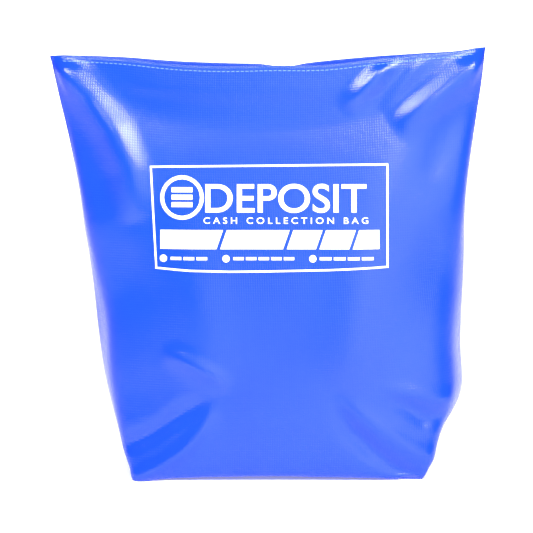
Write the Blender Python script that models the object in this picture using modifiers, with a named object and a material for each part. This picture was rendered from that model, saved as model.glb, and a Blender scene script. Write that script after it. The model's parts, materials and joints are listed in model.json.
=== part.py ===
"""A reusable cash deposit bag of glossy PVC-coated cloth, with boxed bottom corners and a zip
set between the two top edges.

Two panels make the body. Each is one cloth: half of the base, one face and the front or back
half of both sides. They are sewn together down the sides and along the middle of the base, and
each bottom corner is boxed by a seam that runs from front to back. The top edge of each panel
is folded inwards and sewn to a zip tape, so the zip lies below the two edges, out of sight from
the front. The bag stands full, with the zip closed and its slider at the right-hand end.

Metres, +Z up. The origin is the middle of the base, +X is to the right seen from the front,
and the front faces -Y.
"""

import math

import bmesh
import bpy
from mathutils import Vector

# ---- Driving dimensions ------------------------------------------------------------------

TOP_WIDTH = 0.254  # across the top, corner to corner
HEIGHT = 0.250  # of the top corners above the base
BASE_DEPTH = 0.086
BELLY = 0.010  # how far the full bag swells past straight walls, on each side
TOP_SAG = 0.011  # how far the top edges dip in the middle

CLOTH = 0.0006  # thickness of the coated cloth
GAP = 0.0003  # between pieces that lie against each other
HEM_DEPTH = 0.010  # cloth turned in at each top edge
THREAD = 0.0005
STITCH_INSET = 0.0022  # of the top stitching below the edge

BINDING_WIDTH = 0.009  # seam allowance and the tape folded over it, inside the bag
BINDING_THICKNESS = 0.0024

ZIP_END_MARGIN = 0.030  # from each stop of the zip to the bag's corner
TAPE = 0.0005  # thickness of the zip's woven tape
TAPE_SEAM = 0.0065  # tape that lies against the hem
TAPE_PAST_STOP = 0.011
CHAIN_HALF_WIDTH = 0.0030
CHAIN_HEIGHT = 0.0018
CHAIN_HALF_SLIT = 0.00055  # between the middle and each half of the chain

SLIDER_LENGTH = 0.0120
SLIDER_HALF_WIDTH = 0.0042
SLIDER_PLATE = 0.0012
SLIDER_FLANGE = 0.0008
SLIDER_PLAY = 0.0005  # beside the slider, and between it and each stop at the end of its travel
WEDGE_LENGTH = 0.0030
BRIDGE_HALF_LENGTH = 0.0036
BRIDGE_WIDTH = 0.0018
BRIDGE_BAR = 0.0012
BRIDGE_CLEAR = 0.0022  # under the bridge, where the pull tab's bar turns

PULL_LENGTH = 0.020
PULL_WIDTH = 0.0070
PULL_THICKNESS = 0.0013
PULL_ARM = 0.0015
PULL_BAR_RADIUS = 0.00075
SEAL_HOLE_RADIUS = 0.0018

STOP_LENGTH = 0.0025
LIP_COVER = 0.0015  # how far the top edges stand above the slider at their lowest
END_TAB_LENGTH = 0.006

EYELET_HOLE_RADIUS = 0.0020
EYELET_WALL = 0.0004
EYELET_FLANGE_RADIUS = 0.0045
EYELET_BELOW_EDGE = 0.017

# ---- Sizes that follow from them ----------------------------------------------------------

TOP_HALF = TOP_WIDTH / 2
BASE_WIDTH = TOP_WIDTH - BASE_DEPTH  # boxing a corner takes half the depth off each side
BASE_HALF = BASE_WIDTH / 2
SEAM_Y = GAP / 2  # each panel stops this far from the middle plane
FOLD_RADIUS = CLOTH + GAP / 4  # outer radius of the folded top edge
HEM_STACK = 2 * FOLD_RADIUS

STOP_X = TOP_HALF - ZIP_END_MARGIN  # inner face of each stop
TAPE_HALF_LENGTH = STOP_X + TAPE_PAST_STOP
SLIDER_REST_X = STOP_X - SLIDER_PLAY - SLIDER_LENGTH / 2

# The mouth's plan is a superellipse, just wide enough for the slider at each end of the zip.
TOP_ROUNDNESS = 2.2
MOUTH_AT_STOP = SLIDER_HALF_WIDTH + 2 * SLIDER_PLAY + TAPE + GAP + HEM_STACK
MOUTH_HALF_DEPTH = MOUTH_AT_STOP / (1 - (STOP_X / TOP_HALF) ** TOP_ROUNDNESS) ** (1 / TOP_ROUNDNESS)

# Heights over the middle of the tape.
CHAIN_BOTTOM = TAPE / 2 + GAP
CHAIN_TOP = CHAIN_BOTTOM + CHAIN_HEIGHT
UPPER_PLATE_BOTTOM = CHAIN_TOP + GAP
UPPER_PLATE_TOP = UPPER_PLATE_BOTTOM + SLIDER_PLATE
LOWER_PLATE_TOP = -TAPE / 2 - GAP
PULL_AXIS_OVER_TAPE = UPPER_PLATE_TOP + BRIDGE_CLEAR / 2
SLIDER_TOP = UPPER_PLATE_TOP + BRIDGE_CLEAR + BRIDGE_BAR
TAPE_Z = HEIGHT - TOP_SAG - LIP_COVER - SLIDER_TOP
TAPE_FLAT = SLIDER_HALF_WIDTH + SLIDER_PLAY  # half-width of the level part, under the slider

# ---- Mesh counts --------------------------------------------------------------------------

FACE_COLUMNS = 18
SIDE_COLUMNS = 5  # in each half of a side, and rows in each half of the base
HEM_STARTS = 2  # columns from the side seam, where the turned-in cloth begins
WALL_ROWS = 14
FOLD_STEPS = 4
TAPE_STATIONS = 20
THREAD_POINTS = 40


# ---- Blender helpers ----------------------------------------------------------------------


def clear_scene():
    for old in list(bpy.data.objects):
        bpy.data.objects.remove(old)


def new_collection(name):
    collection = bpy.data.collections.new(name)
    bpy.context.scene.collection.children.link(collection)
    return collection


def new_material(name, colour, roughness, metallic=0.0):
    material = bpy.data.materials.new(name)
    material.use_nodes = True
    shader = material.node_tree.nodes["Principled BSDF"]
    shader.inputs["Base Color"].default_value = (*colour, 1.0)
    shader.inputs["Roughness"].default_value = roughness
    shader.inputs["Metallic"].default_value = metallic
    return material


def placed(obj, name, material, parent=None):
    """Names the object, gives it its material and moves it into the bag's collection."""
    obj.name = name
    obj.data.name = name
    obj.data.materials.clear()
    obj.data.materials.append(material)
    for collection in list(obj.users_collection):
        collection.objects.unlink(obj)
    bag_collection.objects.link(obj)
    if parent:
        obj.parent = parent
        obj.location -= parent.location
    return obj


def mesh_object(name, grid_builder):
    """An object whose mesh is made by grid_builder(bmesh)."""
    mesh = bpy.data.meshes.new(name)
    bm = bmesh.new()
    grid_builder(bm)
    bmesh.ops.remove_doubles(bm, verts=bm.verts, dist=1e-6)
    bm.to_mesh(mesh)
    bm.free()
    obj = bpy.data.objects.new(name, mesh)
    bpy.context.scene.collection.objects.link(obj)
    return obj


def add_grid(bm, rows, flip):
    """Quads between rows of points, with the left half's diagonals mirroring the right's."""
    verts = [[bm.verts.new(point) for point in row] for row in rows]
    for lower, upper in zip(verts, verts[1:]):
        for i in range(len(lower) - 1):
            corners = [lower[i], lower[i + 1], upper[i + 1], upper[i]]
            if 2 * i < len(lower) - 1:
                corners.append(corners.pop(0))
            bm.faces.new(corners[::-1] if flip else corners)


def solidify(obj, thickness, offset):
    wall = obj.modifiers.new("wall", "SOLIDIFY")
    wall.thickness = thickness
    wall.offset = offset
    return wall


def bevel(obj, width, segments=1):
    edges = obj.modifiers.new("edges", "BEVEL")
    edges.width = width
    edges.segments = segments
    edges.limit_method = "ANGLE"
    edges.angle_limit = math.radians(40)


def box(size, centre):
    """A cube primitive of this size, with its scale applied."""
    bpy.ops.mesh.primitive_cube_add(size=1, location=centre)
    obj = bpy.context.object
    obj.scale = size
    bpy.ops.object.transform_apply(location=False, rotation=False, scale=True)
    return obj


def outline_curve(name, points, thickness):
    """A flat outline in its own XY plane, filled and given its thickness."""
    curve = bpy.data.curves.new(name, "CURVE")
    curve.dimensions = "2D"
    curve.fill_mode = "BOTH"
    curve.extrude = thickness / 2
    for outline in points:
        spline = curve.splines.new("POLY")
        spline.points.add(len(outline) - 1)
        for point, (x, y) in zip(spline.points, outline):
            point.co = (x, y, 0, 1)
        spline.use_cyclic_u = True
    obj = bpy.data.objects.new(name, curve)
    bpy.context.scene.collection.objects.link(obj)
    return obj


def tube(name, points, radius):
    """A round thread or bar along the points."""
    curve = bpy.data.curves.new(name, "CURVE")
    curve.dimensions = "3D"
    curve.bevel_depth = radius
    curve.bevel_resolution = 2
    curve.use_fill_caps = True
    spline = curve.splines.new("POLY")
    spline.points.add(len(points) - 1)
    for point, place in zip(spline.points, points):
        point.co = (*place, 1)
    obj = bpy.data.objects.new(name, curve)
    bpy.context.scene.collection.objects.link(obj)
    return obj


def as_mesh(obj):
    """The curve or modified object as a plain mesh, its loose caps welded, at the same place."""
    bpy.context.view_layer.update()
    evaluated = obj.evaluated_get(bpy.context.evaluated_depsgraph_get())
    mesh = bpy.data.meshes.new_from_object(evaluated)
    bm = bmesh.new()
    bm.from_mesh(mesh)
    bmesh.ops.remove_doubles(bm, verts=bm.verts, dist=1e-6)
    bm.to_mesh(mesh)
    bm.free()
    solid = bpy.data.objects.new(obj.name, mesh)
    bpy.context.scene.collection.objects.link(solid)
    solid.matrix_world = obj.matrix_world
    bpy.data.objects.remove(obj)
    return solid


def boolean(obj, operation, other):
    step = obj.modifiers.new(operation.lower(), "BOOLEAN")
    step.operation = operation
    step.object = other
    for collection in list(other.users_collection):
        collection.objects.unlink(other)
    cutter_collection.objects.link(other)
    other.hide_render = True
    other.display_type = "WIRE"


# ---- The bag's outer surface --------------------------------------------------------------


def half_width(s):
    """Half the bag's width at share s of its height: it flares quickly out of the base."""
    flare = 0.35 * (1 - (1 - s) ** 8) + 0.65 * s**1.3
    return BASE_HALF + (TOP_HALF - BASE_HALF) * flare


def half_depth(s):
    """Half the bag's depth at share s of its height: a full belly that closes to the mouth."""
    straight = MOUTH_HALF_DEPTH + (BASE_DEPTH / 2 - MOUTH_HALF_DEPTH) * (1 - s**1.9)
    return straight + BELLY * math.sin(math.pi * s**0.8)


def roundness(s):
    """The section's exponent: nearly a rectangle at the base, nearly an ellipse above."""
    return TOP_ROUNDNESS + 28 * (1 - s) ** 12


def edge_height(x):
    """Height of the folded top edge at this x."""
    return HEIGHT - TOP_SAG * (1 - (x / TOP_HALF) ** 2)


def mouth_half(x):
    """Half the distance between the outer faces of the two top edges at this x."""
    share = min(abs(x) / TOP_HALF, 1)
    return MOUTH_HALF_DEPTH * (1 - share**TOP_ROUNDNESS) ** (1 / TOP_ROUNDNESS)


def front_surface(qx, qy, s):
    """A point of the front panel's outer face. (qx, qy) runs round the unit rectangle's rim."""
    a, b = half_width(s), half_depth(s) - SEAM_Y
    if s > 0:
        n = roundness(s)
        reach = (abs(qx) ** n + abs(qy) ** n) ** (1 / n)
        qx, qy = qx / reach, qy / reach
    x = a * qx
    dip = (HEIGHT - edge_height(x)) * s**4
    return Vector((x, b * qy - SEAM_Y, (HEIGHT - FOLD_RADIUS) * s - dip))


def rim():
    """(qx, qy) of each column, from the left side seam across the front to the right one."""
    side = [(-1.0, -i / SIDE_COLUMNS) for i in range(SIDE_COLUMNS)]
    face = [(-1 + 2 * i / FACE_COLUMNS, -1.0) for i in range(FACE_COLUMNS + 1)]
    return side + face + [(1.0, qy) for _, qy in reversed(side)]


def wall_rows():
    shares = [(j / WALL_ROWS) ** 1.25 for j in range(WALL_ROWS)] + [0.985, 1.0]
    return [[front_surface(qx, qy, s) for qx, qy in rim()] for s in shares]


def hem_rows(top_row):
    """The cloth's outer face over the folded top edge and down the inside."""
    turns = [math.pi * (k + 1) / FOLD_STEPS for k in range(FOLD_STEPS)]
    drops = [0.0] * FOLD_STEPS + [(HEM_DEPTH - FOLD_RADIUS) / 2, HEM_DEPTH - FOLD_RADIUS]
    turns += [math.pi] * 2
    rows = []
    for turn, drop in zip(turns, drops):
        row = []
        for x, _, _ in top_row:
            y = -mouth_half(x) + FOLD_RADIUS * (1 - math.cos(turn))
            z = edge_height(x) - FOLD_RADIUS * (1 - math.sin(turn)) - drop
            row.append(Vector((x, y, z)))
        rows.append(row)
    return rows


def base_rows():
    """Half of the base, from the front fold back to the middle seam."""
    rows = []
    for k in range(SIDE_COLUMNS + 1):
        y = -SEAM_Y - (BASE_DEPTH / 2 - SEAM_Y) * (1 - k / SIDE_COLUMNS)
        xs = [BASE_HALF * (-1 + 2 * i / FACE_COLUMNS) for i in range(FACE_COLUMNS + 1)]
        rows.append([Vector((x, y, 0)) for x in xs])
    return rows


def panel(name, back):
    def build(bm):
        wall = wall_rows()
        top = wall[-1][HEM_STARTS:-HEM_STARTS]
        mirror = Vector((1, -1, 1)) if back else Vector((1, 1, 1))
        for rows in (wall, [top] + hem_rows(top), base_rows()[::-1]):
            add_grid(bm, [[p * mirror for p in row] for row in rows], flip=back)

    obj = mesh_object(name, build)
    solidify(obj, CLOTH, -1)
    obj = as_mesh(obj)
    for vert in obj.data.vertices:  # the cloth's inner face also stops at the seams
        vert.co.y = max(vert.co.y, SEAM_Y) if back else min(vert.co.y, -SEAM_Y)
    obj.data.shade_smooth()
    return placed(obj, name, cloth_material)


# ---- Seams and stitching ------------------------------------------------------------------


def side_binding(name, sign):
    """The bound seam allowance that stands inwards from a side seam."""
    inset = 2 * CLOTH
    low, high = 0.0115, HEIGHT - 2 * HEM_DEPTH
    heights = [low + (high - low) * k / 12 for k in range(13)]
    outer = [(sign * (half_width(z / HEIGHT) - inset), z) for z in heights]
    inner = [(x - sign * BINDING_WIDTH, z) for x, z in reversed(outer)]
    obj = outline_curve(name, [outer + inner], BINDING_THICKNESS)
    obj.rotation_euler = (math.radians(90), 0, 0)
    return placed(as_mesh(obj), name, binding_material)


def corner_binding(name, sign):
    """The bound allowance of a boxed corner's seam, leaning in over the base."""
    reach = BINDING_WIDTH / 2 + CLOTH + GAP
    centre = (sign * (BASE_HALF - reach), 0, reach)
    obj = box((BINDING_WIDTH, BASE_DEPTH * 0.9, BINDING_THICKNESS), centre)
    obj.rotation_euler = (0, sign * math.radians(45), 0)
    bevel(obj, BINDING_THICKNESS / 4)
    return placed(obj, name, binding_material)


def base_binding():
    """The bound allowance of the seam along the middle of the base."""
    length = BASE_WIDTH - 2.6 * BINDING_WIDTH
    obj = box(
        (length, BINDING_THICKNESS, BINDING_WIDTH), (0, 0, CLOTH + GAP + BINDING_WIDTH / 2)
    )
    bevel(obj, BINDING_THICKNESS / 4)
    return placed(obj, "base_seam_binding", binding_material)


def side_stitching(name, sign):
    """The thread through a side seam, on the front of its binding."""
    low, high = 0.015, HEIGHT - 2 * HEM_DEPTH - 2 * THREAD
    y = -BINDING_THICKNESS / 2 - GAP - THREAD / 2
    points = []
    for k in range(13):
        z = low + (high - low) * k / 12
        x = half_width(z / HEIGHT) - 2 * CLOTH - BINDING_WIDTH / 2
        points.append((sign * x, y, z))
    return placed(tube(name, points, THREAD / 2), name, thread_material)


def corner_stitching(name, sign):
    """The thread through a boxed corner's seam, on the side of its binding towards the base."""
    reach = BINDING_WIDTH / 2 + CLOTH + GAP
    out = (BINDING_THICKNESS / 2 + GAP + THREAD / 2) * math.sqrt(0.5)
    x, z = sign * (BASE_HALF - reach - out), reach - out
    half = BASE_DEPTH * 0.43
    points = [(x, -half, z), (x, half, z)]
    return placed(tube(name, points, THREAD / 2), name, thread_material)


def base_stitching():
    """The thread through the base's middle seam, on the front of its binding."""
    half = BASE_WIDTH / 2 - 1.5 * BINDING_WIDTH
    y = -BINDING_THICKNESS / 2 - GAP - THREAD / 2
    z = CLOTH + GAP + BINDING_WIDTH / 2
    obj = tube("base_stitching", [(-half, y, z), (half, y, z)], THREAD / 2)
    return placed(obj, "base_stitching", thread_material)


def top_stitching(name, back):
    """The row of thread along the outside of a folded top edge."""
    out = GAP + THREAD / 2
    reach = 0.94 * TOP_HALF
    points = []
    for k in range(THREAD_POINTS + 1):
        x = -reach + 2 * reach * k / THREAD_POINTS
        lean = (half_depth(0.985) - half_depth(1)) / (0.015 * HEIGHT)
        y = -mouth_half(x) - STITCH_INSET * lean - out
        points.append((x, -y if back else y, edge_height(x) - STITCH_INSET))
    return placed(tube(name, points, THREAD / 2), name, thread_material)


# ---- The zip ------------------------------------------------------------------------------


def zip_tape(name, back):
    """Woven tape: level under the slider, then up to lie against the hem."""

    def build(bm):
        rows = []
        for k in range(TAPE_STATIONS + 1):
            x = -TAPE_HALF_LENGTH + 2 * TAPE_HALF_LENGTH * k / TAPE_STATIONS
            against_hem = mouth_half(x) - HEM_STACK - GAP - TAPE / 2
            level = min(TAPE_FLAT, against_hem - TAPE)
            seam_top = edge_height(x) - LIP_COVER
            profile = [
                (CHAIN_HALF_SLIT, TAPE_Z),
                (level, TAPE_Z),
                (against_hem, seam_top - TAPE_SEAM),
                (against_hem, seam_top),
            ]
            rows.append([Vector((x, y if back else -y, z)) for y, z in profile])
        add_grid(bm, rows, flip=back)

    obj = mesh_object(name, build)
    solidify(obj, TAPE, 0)
    return placed(obj, name, tape_material)


def over_tape(height):
    return TAPE_Z + height


def zip_chain(name, sign):
    """One half of the closed chain: the nylon coil, as a bar of its outer shape."""
    width = CHAIN_HALF_WIDTH - CHAIN_HALF_SLIT
    centre_y = sign * (CHAIN_HALF_SLIT + width / 2)
    obj = box(
        (2 * STOP_X - 2 * GAP, width, CHAIN_HEIGHT),
        (0, centre_y, over_tape(CHAIN_BOTTOM + CHAIN_HEIGHT / 2)),
    )
    bevel(obj, CHAIN_HEIGHT / 4, segments=2)
    return placed(obj, name, coil_material)


def top_stop(name, sign):
    """A small metal stop on one tape, where the slider comes to rest."""
    width = CHAIN_HALF_WIDTH - CHAIN_HALF_SLIT
    obj = box(
        (STOP_LENGTH, width, CHAIN_HEIGHT),
        (
            STOP_X + STOP_LENGTH / 2,
            sign * (CHAIN_HALF_SLIT + width / 2),
            over_tape(CHAIN_BOTTOM + CHAIN_HEIGHT / 2),
        ),
    )
    bevel(obj, CHAIN_HEIGHT / 5)
    return placed(obj, name, metal_material)


def bottom_stop():
    """The metal stop that holds both tapes together at the open end."""
    obj = box(
        (STOP_LENGTH, 2 * CHAIN_HALF_WIDTH, CHAIN_HEIGHT),
        (-STOP_X - STOP_LENGTH / 2, 0, over_tape(CHAIN_BOTTOM + CHAIN_HEIGHT / 2)),
    )
    bevel(obj, CHAIN_HEIGHT / 5)
    return placed(obj, "bottom_stop", metal_material)


def end_tab(name, sign):
    """A strip of the bag's own cloth sewn across both tapes past the stop."""
    middle = sign * (STOP_X + STOP_LENGTH + GAP + END_TAB_LENGTH / 2)
    far = mouth_half(abs(middle) + END_TAB_LENGTH / 2) - HEM_STACK - 2 * TAPE - GAP
    width = 2 * min(TAPE_FLAT, far - TAPE)
    obj = box(
        (END_TAB_LENGTH, width, CLOTH), (middle, 0, over_tape(CHAIN_BOTTOM + CLOTH / 2))
    )
    bevel(obj, CLOTH / 4)
    return placed(obj, name, cloth_material)


# ---- The slider and its pull tab ----------------------------------------------------------


def slider_section():
    """The slider's end view: two plates, the flanges round the chain and the wedge's web."""
    outer, flange = SLIDER_HALF_WIDTH, SLIDER_HALF_WIDTH - SLIDER_FLANGE
    web = CHAIN_HALF_SLIT - GAP
    right = [
        (outer, LOWER_PLATE_TOP - SLIDER_PLATE),
        (outer, LOWER_PLATE_TOP),
        (web, LOWER_PLATE_TOP),
        (web, UPPER_PLATE_BOTTOM),
        (flange, UPPER_PLATE_BOTTOM),
        (flange, CHAIN_BOTTOM),
        (outer, CHAIN_BOTTOM),
        (outer, UPPER_PLATE_TOP),
    ]
    return right + [(-y, z) for y, z in reversed(right)]


def slider_bridge():
    """The arch over the upper plate, which sinks a little into it."""
    reach, bar = BRIDGE_HALF_LENGTH, BRIDGE_BAR
    foot = -SLIDER_PLATE / 2
    outline = [
        (-reach, foot),
        (-reach + bar, foot),
        (-reach + bar, BRIDGE_CLEAR),
        (reach - bar, BRIDGE_CLEAR),
        (reach - bar, foot),
        (reach, foot),
        (reach, BRIDGE_CLEAR + bar * 0.4),
        (reach - bar * 0.6, BRIDGE_CLEAR + bar),
        (-reach + bar * 0.6, BRIDGE_CLEAR + bar),
        (-reach, BRIDGE_CLEAR + bar * 0.4),
    ]
    obj = outline_curve("bridge", [outline], BRIDGE_WIDTH)
    obj.rotation_euler = (math.radians(90), 0, 0)
    obj.location = (SLIDER_REST_X, 0, over_tape(UPPER_PLATE_TOP))
    return as_mesh(obj)


def slider_body():
    """The cast slider, its wedge at the right-hand end, where it closes the zip."""
    obj = outline_curve("slider_body", [slider_section()], SLIDER_LENGTH)
    obj.rotation_euler = (math.radians(90), 0, math.radians(90))
    obj.location = (SLIDER_REST_X, 0, TAPE_Z)
    obj = as_mesh(obj)
    web = CHAIN_HALF_SLIT - GAP
    throat_length = SLIDER_LENGTH - WEDGE_LENGTH
    throat_height = UPPER_PLATE_BOTTOM - LOWER_PLATE_TOP
    throat = box(
        (throat_length + 2 * CLOTH, 4 * web, throat_height),
        (
            SLIDER_REST_X - SLIDER_LENGTH / 2 + throat_length / 2 - CLOTH,
            0,
            over_tape(LOWER_PLATE_TOP + throat_height / 2),
        ),
    )
    boolean(obj, "DIFFERENCE", throat)
    boolean(obj, "UNION", slider_bridge())
    return placed(obj, "slider_body", metal_material, slider_empty)


def ring(radius, sides=20):
    turns = [2 * math.pi * k / sides for k in range(sides)]
    return [(radius * math.cos(turn), radius * math.sin(turn)) for turn in turns]


def pull_tab():
    """A flat pull whose bar turns under the bridge, with a hole at its end for a seal."""
    half, arm = PULL_WIDTH / 2, PULL_ARM
    window_end = math.hypot(BRIDGE_HALF_LENGTH, BRIDGE_CLEAR / 2 + BRIDGE_BAR) + GAP
    tip = PULL_LENGTH - half
    nose = [
        (-tip - half * math.sin(turn), half * math.cos(turn))
        for turn in [math.pi * k / 10 for k in range(11)]
    ]
    outline = [(0, -half), (0, -half + arm), (-window_end, -half + arm)]
    outline += [(-window_end, half - arm), (0, half - arm), (0, half)] + nose
    hole = [(x - tip, y) for x, y in ring(SEAL_HOLE_RADIUS)]
    obj = outline_curve("pull_tab", [outline, hole], PULL_THICKNESS)
    obj.location = (SLIDER_REST_X, 0, over_tape(PULL_AXIS_OVER_TAPE))
    obj = as_mesh(obj)
    bpy.ops.mesh.primitive_cylinder_add(
        vertices=14,
        radius=PULL_BAR_RADIUS,
        depth=PULL_WIDTH - PULL_ARM * 0.6,
        location=obj.location,
        rotation=(math.radians(90), 0, 0),
    )
    boolean(obj, "UNION", bpy.context.object)
    return placed(obj, "pull_tab", metal_material, pull_empty)


# ---- The seal eyelet ----------------------------------------------------------------------


def eyelet_place():
    """A point on the back panel's outer face beside the pull tab's hole, and its normal."""
    x = SLIDER_REST_X - (PULL_LENGTH - PULL_WIDTH / 2)
    s = (edge_height(x) - EYELET_BELOW_EDGE) / edge_height(x)
    low, high = 0.0, 1.0
    for _ in range(40):
        middle = (low + high) / 2
        if front_surface(middle, -1.0, s).x < x:
            low = middle
        else:
            high = middle
    point = front_surface(low, -1.0, s)
    along = front_surface(low + 0.02, -1.0, s) - front_surface(low - 0.02, -1.0, s)
    up = front_surface(low, -1.0, s + 0.01) - front_surface(low, -1.0, s - 0.01)
    normal = along.cross(up).normalized()
    return point * Vector((1, -1, 1)), normal * Vector((1, -1, 1))


def turned(name, profile, point, normal):
    """A ring turned round the normal from a closed profile of (radius, height)."""
    mesh = bpy.data.meshes.new(name)
    count = len(profile)
    edges = [(i, (i + 1) % count) for i in range(count)]
    mesh.from_pydata([(r, 0, h) for r, h in profile], edges, [])
    obj = bpy.data.objects.new(name, mesh)
    bpy.context.scene.collection.objects.link(obj)
    screw = obj.modifiers.new("turn", "SCREW")
    screw.steps = screw.render_steps = 24
    screw.use_merge_vertices = True
    screw.merge_threshold = 1e-5
    obj.rotation_mode = "QUATERNION"
    obj.rotation_quaternion = normal.to_track_quat("Z", "Y")
    obj.location = point
    return obj


def seal_eyelet():
    """A metal eyelet set through the back panel: a flanged barrel and the washer inside."""
    point, normal = eyelet_place()
    bore, barrel = EYELET_HOLE_RADIUS, EYELET_HOLE_RADIUS + EYELET_WALL
    rim_, wall = EYELET_FLANGE_RADIUS, EYELET_WALL
    seat = GAP
    inside = -CLOTH - GAP - wall - GAP
    barrel_profile = [
        (bore, inside),
        (bore, seat + wall),
        (rim_, seat + wall),
        (rim_, seat),
        (barrel, seat),
        (barrel, inside),
    ]
    washer_bore = barrel + GAP
    washer_profile = [
        (washer_bore, -CLOTH - GAP - wall),
        (washer_bore, -CLOTH - GAP),
        (rim_, -CLOTH - GAP),
        (rim_, -CLOTH - GAP - wall),
    ]
    placed(turned("seal_eyelet", barrel_profile, point, normal), "seal_eyelet", metal_material)
    placed(
        turned("eyelet_washer", washer_profile, point, normal), "eyelet_washer", metal_material
    )
    bpy.ops.mesh.primitive_cylinder_add(
        vertices=24, radius=barrel + GAP, depth=8 * CLOTH, location=point
    )
    cutter = bpy.context.object
    cutter.rotation_mode = "QUATERNION"
    cutter.rotation_quaternion = normal.to_track_quat("Z", "Y")
    boolean(bpy.data.objects["back_panel"], "DIFFERENCE", cutter)


# ---- The whole bag ------------------------------------------------------------------------

clear_scene()
bag_collection = new_collection("cash_deposit_bag")
cutter_collection = new_collection("cutters")

cloth_material = new_material("glossy_pvc_cloth", (0.045, 0.16, 0.90), 0.28)
binding_material = new_material("woven_binding", (0.03, 0.10, 0.55), 0.85)
thread_material = new_material("polyester_thread", (0.16, 0.32, 0.95), 0.6)
tape_material = new_material("zip_tape", (0.02, 0.07, 0.45), 0.8)
coil_material = new_material("nylon_coil", (0.03, 0.09, 0.55), 0.45)
metal_material = new_material("nickel_plate", (0.62, 0.61, 0.58), 0.28, metallic=1.0)

slider_empty = bpy.data.objects.new("slider_place", None)
slider_empty.location = (SLIDER_REST_X, 0, TAPE_Z)
pull_empty = bpy.data.objects.new("pull_axis", None)
pull_empty.location = (SLIDER_REST_X, 0, over_tape(PULL_AXIS_OVER_TAPE))
for empty in (slider_empty, pull_empty):
    bag_collection.objects.link(empty)

panel("front_panel", back=False)
panel("back_panel", back=True)

side_binding("left_side_binding", -1)
side_binding("right_side_binding", 1)
corner_binding("left_corner_binding", -1)
corner_binding("right_corner_binding", 1)
base_binding()
side_stitching("left_side_stitching", -1)
side_stitching("right_side_stitching", 1)
corner_stitching("left_corner_stitching", -1)
corner_stitching("right_corner_stitching", 1)
base_stitching()
top_stitching("front_top_stitching", back=False)
top_stitching("back_top_stitching", back=True)

zip_tape("front_zip_tape", back=False)
zip_tape("back_zip_tape", back=True)
zip_chain("front_zip_coil", -1)
zip_chain("back_zip_coil", 1)
top_stop("front_top_stop", -1)
top_stop("back_top_stop", 1)
bottom_stop()
end_tab("left_end_tab", -1)
end_tab("right_end_tab", 1)

slider_body()
pull_tab()
seal_eyelet()
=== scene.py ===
import math

import bmesh
import bpy
import numpy as np
from mathutils import Matrix, Vector
from mathutils.bvhtree import BVHTree
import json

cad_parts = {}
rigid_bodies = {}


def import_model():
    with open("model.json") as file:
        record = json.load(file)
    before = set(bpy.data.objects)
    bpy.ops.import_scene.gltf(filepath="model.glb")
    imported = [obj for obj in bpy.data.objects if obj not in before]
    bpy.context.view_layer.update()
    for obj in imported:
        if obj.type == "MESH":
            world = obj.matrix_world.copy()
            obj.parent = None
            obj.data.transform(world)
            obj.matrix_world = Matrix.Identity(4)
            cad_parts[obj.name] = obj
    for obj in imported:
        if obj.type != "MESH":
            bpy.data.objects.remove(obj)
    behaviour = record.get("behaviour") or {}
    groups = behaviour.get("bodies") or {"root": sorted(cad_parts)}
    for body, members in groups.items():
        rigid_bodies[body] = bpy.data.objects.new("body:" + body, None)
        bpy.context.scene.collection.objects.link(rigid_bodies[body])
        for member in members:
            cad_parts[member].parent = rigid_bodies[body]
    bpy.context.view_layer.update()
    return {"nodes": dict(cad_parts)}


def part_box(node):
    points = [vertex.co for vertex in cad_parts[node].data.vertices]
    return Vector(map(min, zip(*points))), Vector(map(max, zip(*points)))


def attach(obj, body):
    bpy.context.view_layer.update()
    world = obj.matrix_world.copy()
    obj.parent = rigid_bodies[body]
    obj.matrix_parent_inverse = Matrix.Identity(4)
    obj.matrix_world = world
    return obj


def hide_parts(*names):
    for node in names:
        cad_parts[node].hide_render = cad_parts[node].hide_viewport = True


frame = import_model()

# ---- The two panels of coated cloth ---------------------------------------------------------
# One cloth for each side: PVC-coated polyester, cut flat, sewn down the sides, along the middle
# of the base and across the two boxed corners, and turned right side out. Filling it is a cloth
# simulation of that cut, with a little pressure inside and the top edges held.

MM = 0.001
TOP_WIDTH, BASE_DEPTH, HEIGHT = 254 * MM, 86 * MM, 250 * MM
TOP_HALF, BASE_HALF = TOP_WIDTH / 2, (TOP_WIDTH - BASE_DEPTH) / 2
CLOTH = 0.6 * MM
HEM_RADIUS, HEM_DEPTH = 0.7 * MM, 9 * MM
# The mouth is a long oval between its ends: half its width, and how square the oval is.
MOUTH_HALF, MOUTH_POWER = 10.5 * MM, 2.2
# The simulated cloth's cells, and how far above its table the cloth comes to rest.
CELL, REST_GAP = 5 * MM, 2 * MM


def curve_through(points):
    """A smooth function through (place, value) pairs."""
    xs, ys = np.array(points, float).T
    slopes = np.gradient(ys, xs)

    def value(x):
        x = min(max(x, xs[0]), xs[-1])
        i = min(int(np.searchsorted(xs, x, side="right")) - 1, len(xs) - 2)
        h = xs[i + 1] - xs[i]
        t = (x - xs[i]) / h
        a, b = 2 * t**3 - 3 * t**2 + 1, t**3 - 2 * t**2 + t
        c, d = -2 * t**3 + 3 * t**2, t**3 - t**2
        return a * ys[i] + b * h * slopes[i] + c * ys[i + 1] + d * h * slopes[i + 1]

    return value


# Heights of the two top edges in mm, by share of the half-width from left to right.
FRONT_EDGE = curve_through([
    (-1, 244.3), (-0.67, 242.3), (-0.4, 239.0), (-0.19, 238.1), (0, 238.6), (0.27, 239.0),
    (0.52, 242.6), (0.73, 245.2), (0.9, 247.2), (1, 249.4),
])
BACK_EDGE = curve_through([
    (-1, 244.3), (-0.67, 242.8), (-0.4, 240.2), (-0.19, 239.2), (0, 238.3), (0.08, 236.8),
    (0.16, 238.8), (0.3, 240.9), (0.52, 243.4), (0.73, 245.2), (0.9, 246.8), (1, 249.4),
])


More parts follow.
